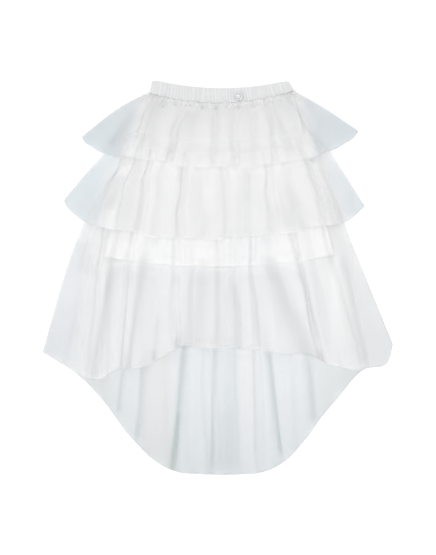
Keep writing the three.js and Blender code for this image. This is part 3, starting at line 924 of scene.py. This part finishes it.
def metal_finish(colours):
    """Satin metal, brushed round its centre and duller in its hollows."""
    finish = Finish("badge_satin_metal")
    place = finish.node("TexCoord", out="Object")
    centre = (-BADGE["x"] * MM, -BADGE["y"] * MM, 0)
    moved = finish.node("Mapping", inputs={"Vector": place, "Location": centre})
    rings = finish.node(
        "TexWave",
        {"wave_type": "RINGS", "rings_direction": "Z"},
        {"Vector": moved, "Scale": 420.0, "Distortion": 3.0, "Detail": 3.0, "Detail Scale": 2.0},
        1,
    )
    shade = (finish.attribute("shade") + rings * 0.1).clamped()
    colour = finish.blend(opaque(colours.metal), opaque(colours.metal, 0.6), shade)
    bump = finish.bump(0.2, 0.05, rings)
    return finish.finished(Base_Color=colour, Metallic=1.0, Roughness=0.32 + 0.15 * rings, Normal=bump)


def finish_named(name, make, *facts):
    """The material of that name, made the first time."""
    return bpy.data.materials.get(name) or make(*facts)


# ---- Operators ----
def panel_operator(what, label, doc, panels):
    """An operator class that lays one flounce, whose panels are given as a list of Row."""

    def execute(self, context):
        sizes, colours = context.scene.skirt_sizes, context.scene.skirt_colours
        for row in panels:
            finish_name = "tulle_" + row.node
            hues = getattr(colours, row.thin_colour), getattr(colours, row.crease_colour)
            finish = finish_named(finish_name, tulle_finish, finish_name, colours, row.cover, *hues)
            points, facts, uv = row.panel.surface(row.columns, row.rows, sizes)
            thickness = sizes.tulle_thickness
            piece = add_cloth(row.node + "_net", points, thickness, finish, [row.node], facts, uv)
            area = row.cut[0] * row.cut[1] * row.share
        return {"FINISHED"}

    return type(
        "SKIRT_OT_" + what,
        (bpy.types.Operator,),
        {"__doc__": doc, "bl_idname": "skirt." + what, "bl_label": label, "execute": execute},
    )


# cut is the flat width and length in metres, and share the part of that oblong that the cloth takes up.
Row = namedtuple("Row", "node panel columns rows cut share rests_on cover thin_colour crease_colour")
# The last three facts of a row, for each kind of net.
TOP_NET = 0.2, "tulle_ice", "tulle_dusk"
FRONT_NET = 0.23, "tulle_smoke", "tulle_dusk"
TRAIN_NET = 0.22, "tulle_smoke", "tulle_deep"
# What each front panel rests on.
UNDER_TIER_1 = ["tier_2_front", "lining_front"]
UNDER_TIER_2 = ["tier_3_front", "lining_front"]
UNDER_TIER_3 = ["lining_front", "tier_3_back"]
MakeTier1 = panel_operator(
    "tier_1",
    "Lay Tier 1",
    "Lays the top flounce, front and back",
    [
        Row("tier_1_front", tier_1_front, 400, 64, (0.62, 0.122), 0.85, UNDER_TIER_1, *TOP_NET),
        Row("tier_1_back", tier_1_back, 220, 30, (0.60, 0.118), 0.8, ["lining_back"], *TOP_NET),
    ],
)
MakeTier2 = panel_operator(
    "tier_2",
    "Lay Tier 2",
    "Lays the middle flounce, front and back",
    [
        Row("tier_2_front", tier_2_front, 430, 80, (0.69, 0.178), 0.85, UNDER_TIER_2, *TOP_NET),
        Row("tier_2_back", tier_2_back, 230, 36, (0.66, 0.174), 0.8, ["tier_1_back"], *TOP_NET),
    ],
)
MakeTier3 = panel_operator(
    "tier_3",
    "Lay Tier 3",
    "Lays the long flounce: its short front and its train",
    [
        Row("tier_3_front", tier_3_front, 470, 92, (0.80, 0.345), 0.8, UNDER_TIER_3, *FRONT_NET),
        Row("tier_3_back", train, 450, 100, (0.80, 0.525), 0.72, ["tier_2_back"], *TRAIN_NET),
    ],
)


class SKIRT_OT_lining(bpy.types.Operator):
    """Lays the lining, front and back, with its turned and stitched hem"""

    bl_idname = "skirt.lining"
    bl_label = "Lay Lining"

    def execute(self, context):
        sizes, colours = context.scene.skirt_sizes, context.scene.skirt_colours
        finish = finish_named("lining_cloth", lining_finish, colours)
        thread = finish_named("sewing_thread", thread_finish, colours)
        for node, panel in (("lining_back", lining_back), ("lining_front", lining_front)):
            x, y, u, v, seam_x, hem_x = panel.fan(170, 110)
            down = v * (panel.seam.y(seam_x) - panel.hem.y(hem_x))
            from_hem = y - panel.hem.y(x)
            puckers = 0.25 * np.exp(-down / 14) * np.sin(2 * math.pi * seam_x / 7 + np.sin(seam_x / 11))
            edge = ease(panel.from_side(x, y) / FULL_EDGE)
            slack = 0.18 * ease(down / 60) * np.sin(u * 2.9 + down / 70) * edge
            turned = 0.22 * ease((HEM_TURN - from_hem) / 1.5) - 0.2 * fade((from_hem - HEM_STITCHES) / 1.3)
            z = panel.base(x, y) + panel.wall / 2 + puckers + slack + turned
            points = np.stack([x, y, np.maximum(z, 0.4)], -1) * MM
            uv = np.stack([x, down], -1)
            thickness = sizes.lining_thickness
            piece = add_cloth(node + "_cloth", points, thickness, finish, [node], {}, uv)
            path = stitch_line(panel, panel.hem, 6, HEM_STITCHES, 0.38, sizes)
            length = 0.72 * sizes.stitch_pitch
            stitches = add_stitches(node + "_hem_stitches", path, length, 0.35 * MM, thread)
        return {"FINISHED"}


class SKIRT_OT_waistband(bpy.types.Operator):
    """Makes the waistband: one loop of elastic in a gathered casing, laid flat, with its stitching"""

    bl_idname = "skirt.waistband"
    bl_label = "Make Waistband"

    def execute(self, context):
        sizes, colours = context.scene.skirt_sizes, context.scene.skirt_colours
        finish = finish_named("band_casing_cloth", band_finish, colours)
        thread = finish_named("sewing_thread", thread_finish, colours)
        rows, columns = 30, 900
        points, facts, uv = band_surface(sizes, rows, columns)
        quads = grid_quads(rows, columns, True, True)
        nodes = ["waistband_front", "waistband_back"]
        add_piece("waistband_casing", points, quads, finish, nodes, facts, uv * MM)
        share = np.linspace(0.02, 0.98, 400)
        x, y = band_plan(share, BAND_STITCHES_SHARE)
        z = 2 * BAND_THICK + SEAM_GAP + band_gathers(share, BAND_STITCHES_SHARE, sizes) - 0.35
        path = evenly(np.stack([x, y, z], -1) * MM, sizes.stitch_pitch)
        add_stitches("waistband_stitches", path, 0.7 * sizes.stitch_pitch, 0.4 * MM, thread)
        return {"FINISHED"}


def band_plan(share, down):
    """x and y a share of the way across the band and down it, straight between its two edges."""
    top, foot = Seam(BAND_TOP), Seam(WAIST_SEAM)
    x_top, x_foot = mix(top.left, top.right, share), mix(foot.left, foot.right, share)
    return mix(x_top, x_foot, down), mix(top.y(x_top), foot.y(x_foot), down)


def band_gathers(share, down, sizes):
    """How far the casing stands up: sharp-edged pleats, 1 - |cos|^0.45, uneven in height and slant."""
    count = sizes.band_gathers
    drift = 0.7 * np.sin(9 * share) + 0.5 * np.sin(23 * share + 1) + 0.06 * np.sin(4 * down + 31 * share)
    pleat = 1 - np.abs(np.cos(math.pi * (count * share + drift))) ** 0.45
    uneven = 0.62 + 0.38 * np.sin(count * 1.9 * share + 2)
    flat = 1 - 0.45 * fade((down - BAND_STITCHES_SHARE) / 0.06)
    return sizes.band_ripple / MM * pleat * uneven * flat


def band_surface(sizes, rows, columns):
    """The casing's outside on a grid that is round both ways. Powers keep the sign of what they are of.

    Along the loop, with s from 0 to 2 pi, the share across is 0.5 - 0.5 cos s and the middle line is above or
    below the band's middle by 2.25 sin(s)^0.2. Round the section, with q from 0 to 2 pi, the share down is
    0.5 - 0.5 cos(q)^0.8, drawn in at the loop's ends, and the wall stands off by 1.91 sin(q)^0.3.
    """
    s = np.linspace(0, 2 * math.pi, columns, endpoint=False)[None]
    q = np.linspace(0, 2 * math.pi, rows, endpoint=False)[:, None]
    # The front runs left to right over the top, and the back returns under it.
    folded = signed_power(np.sin(s), 0.2)
    share = 0.5 - 0.5 * np.cos(s) + 0 * q
    height = BAND_THICK / 2 - 0.15
    middle = (2 * BAND_THICK + SEAM_GAP) / 2 + folded * (height + 0.3)
    down = 0.5 - 0.5 * signed_power(np.cos(q), 0.8) + 0 * s
    out = signed_power(np.sin(q), 0.3)
    end = np.abs(np.cos(s)) ** 40
    shrunk = mix(down, 0.5, mix(0.3, 0.06, down) * end)
    x, y = band_plan(share, shrunk)
    gathers = band_gathers(share, down, sizes) * ease(1.15 - end) * np.clip(out, 0, 1)
    front = folded > 0
    z = middle + out * 0.98 * height * np.where(front, 1, -1)
    z = z + np.where(front, gathers, 0) * (1 - end)
    z = np.maximum(z, 0.1)
    # Gathers pull the top edge in and out a little.
    y = y + 0.5 * np.sin(2 * math.pi * share * sizes.band_gathers) * (1 - down) ** 3 * np.abs(out)
    ripple = gathers / (sizes.band_ripple / MM)
    # Painted shade: darker down between the gathers, and less of it on the back.
    shade = (0.4 * (1 - ripple / 0.8)).clip(0, 1) * np.where(front, 1, 0.6)
    points = np.stack([x, y, z + 0 * x], -1) * MM
    uv = np.stack([share * 470, down * 29], -1)
    return points, {"shade": shade + 0 * x}, uv


class SKIRT_OT_badge(bpy.types.Operator):
    """Makes the plain round badge: a beaded rim round a low dome"""

    bl_idname = "skirt.badge"
    bl_label = "Make Badge"

    def execute(self, context):
        colours = context.scene.skirt_colours
        finish = finish_named("badge_satin_metal", metal_finish, colours)
        x, y, radius = BADGE["x"], BADGE["y"], BADGE["radius"]
        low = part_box("waist_badge")[0][2] / MM
        # The section from the centre of the dome out to the rim and back under.
        section = [
            (0.02, 1.9), (0.2, 1.86), (0.38, 1.6), (0.48, 1.28), (0.53, 0.95), (0.6, 0.8), (0.72, 0.8),
            (0.78, 0.95), (0.82, 1.3), (0.88, 1.62), (0.94, 1.55), (0.985, 1.25), (1, 0.85), (0.985, 0.3),
            (0.93, 0.02), (0.5, 0.0), (0.02, 0.0),
        ]
        r, z = (np.array(column, float)[:, None] for column in zip(*section))
        turn = np.linspace(0, 2 * math.pi, 120, endpoint=False)[None]
        beads = 0.28 * np.abs(np.sin(12 * turn)) * bell(r - 0.89, 0.07, 0.07) * (z > 1)
        petals = 0.3 * np.cos(6 * turn) * bell(r - 0.34, 0.14, 0.1) * (z > 1)
        x, y = x + r * radius * np.cos(turn), y + r * radius * np.sin(turn)
        points = np.stack([x, y, low + (z - 0.1).clip(0) + beads + petals], -1)
        # Painted shade: darkest in the groove, less on the dome's centre, least elsewhere.
        groove = (r > 0.5) & (r < 0.8) & (z > 0.5)
        shade = np.where(groove, 1.0, np.where(r < 0.5, 0.45, 0.15)) + 0 * turn
        rows, columns = points.shape[:2]
        quads = grid_quads(rows, columns, True, True)
        facts = {"shade": shade}
        add_piece("waist_badge_disc", points * MM, quads, finish, ["waist_badge"], facts)
        return {"FINISHED"}


class SKIRT_OT_seams(bpy.types.Operator):
    """Sews the seams of tiers 2 and 3 to the lining with a row of stitches"""

    bl_idname = "skirt.seams"
    bl_label = "Sew Seams"

    def execute(self, context):
        sizes, colours = context.scene.skirt_sizes, context.scene.skirt_colours
        thread = finish_named("sewing_thread", thread_finish, colours)
        for name, panel in (("tier_2_seam", tier_2_front), ("tier_3_seam", tier_3_front)):
            path = stitch_line(panel, panel.seam, 3, -1.6, 0.2, sizes)
            add_stitches(name + "_stitches", path, 0.7 * sizes.stitch_pitch, 0.2 * MM, thread)
        return {"FINISHED"}


class SKIRT_OT_stage(bpy.types.Operator):
    """Sets the pale floor, the soft light and the camera straight above"""

    bl_idname = "skirt.stage"
    bl_label = "Set Stage"

    def execute(self, context):
        scene, colours = context.scene, context.scene.skirt_colours
        finish = Finish("pale_floor")
        grain = finish.noise(3.0).clamped()
        colour = finish.blend(opaque(colours.floor), opaque(colours.floor, 0.98), grain)
        mesh = bpy.data.meshes.new("floor")
        half = 20.0
        corners = [(-half, -half, 0), (half, -half, 0), (half, half, 0), (-half, half, 0)]
        mesh.from_pydata(corners, [], [(0, 1, 2, 3)])
        mesh.materials.append(finish.finished(Base_Color=colour, Roughness=0.9, Specular_IOR_Level=0.1))
        floor = bpy.data.objects.new("floor", mesh)
        scene.collection.objects.link(floor)

        world = bpy.data.worlds.new("studio")
        world.use_nodes = True
        background = world.node_tree.nodes["Background"]
        background.inputs["Color"].default_value = (1.0, 1.0, 1.0, 1.0)
        background.inputs["Strength"].default_value = 1.1
        scene.world = world

        lamp = bpy.data.lights.new("softbox", "SUN")
        lamp.energy, lamp.angle = 0.9, math.radians(50)
        box = bpy.data.objects.new("softbox", lamp)
        box.rotation_euler = Vector((-0.5, 0.3, 1.2)).to_track_quat("Z", "Y").to_euler()
        scene.collection.objects.link(box)

        lens = bpy.data.cameras.new("camera")
        lens.lens, lens.sensor_width = 230.0, 36.0
        view_height = 0.9435
        aim_x, aim_y = 0.0005, -0.0002
        camera = bpy.data.objects.new("camera", lens)
        camera.location = (aim_x, aim_y, view_height * lens.lens / lens.sensor_width)
        lens.clip_end = 100.0
        scene.collection.objects.link(camera)
        scene.camera = camera

        scene.view_settings.view_transform = "Standard"
        scene.view_settings.look = "None"
        scene.cycles.transparent_max_bounces = 64
        return {"FINISHED"}


class SKIRT_PT_panel(bpy.types.Panel):
    """Lists the steps that make the skirt"""

    bl_label = "Tulle Skirt"
    bl_idname = "SKIRT_PT_panel"
    bl_space_type = "VIEW_3D"
    bl_region_type = "UI"
    bl_category = "Skirt"

    def draw(self, context):
        for group in (context.scene.skirt_sizes, context.scene.skirt_colours):
            for what in group.__annotations__:
                self.layout.prop(group, what)
        for step in STEPS:
            self.layout.operator(step.bl_idname)


STEPS = [
    MakeTier1,
    MakeTier2,
    MakeTier3,
    SKIRT_OT_lining,
    SKIRT_OT_waistband,
    SKIRT_OT_badge,
    SKIRT_OT_seams,
    SKIRT_OT_stage,
]
CLASSES = [SkirtSizes, SkirtColours, *STEPS, SKIRT_PT_panel]


def register():
    for cls in CLASSES:
        bpy.utils.register_class(cls)
    bpy.types.Scene.skirt_sizes = PointerProperty(type=SkirtSizes)
    bpy.types.Scene.skirt_colours = PointerProperty(type=SkirtColours)


def unregister():
    del bpy.types.Scene.skirt_colours
    del bpy.types.Scene.skirt_sizes
    for cls in reversed(CLASSES):
        bpy.utils.unregister_class(cls)


def main():
    """Makes every piece and writes the CAD's box and the visual model's box."""
    register()
    for step in STEPS:
        group, name = step.bl_idname.split(".")
        getattr(getattr(bpy.ops, group), name)()


if __name__ == "__main__":
    main()
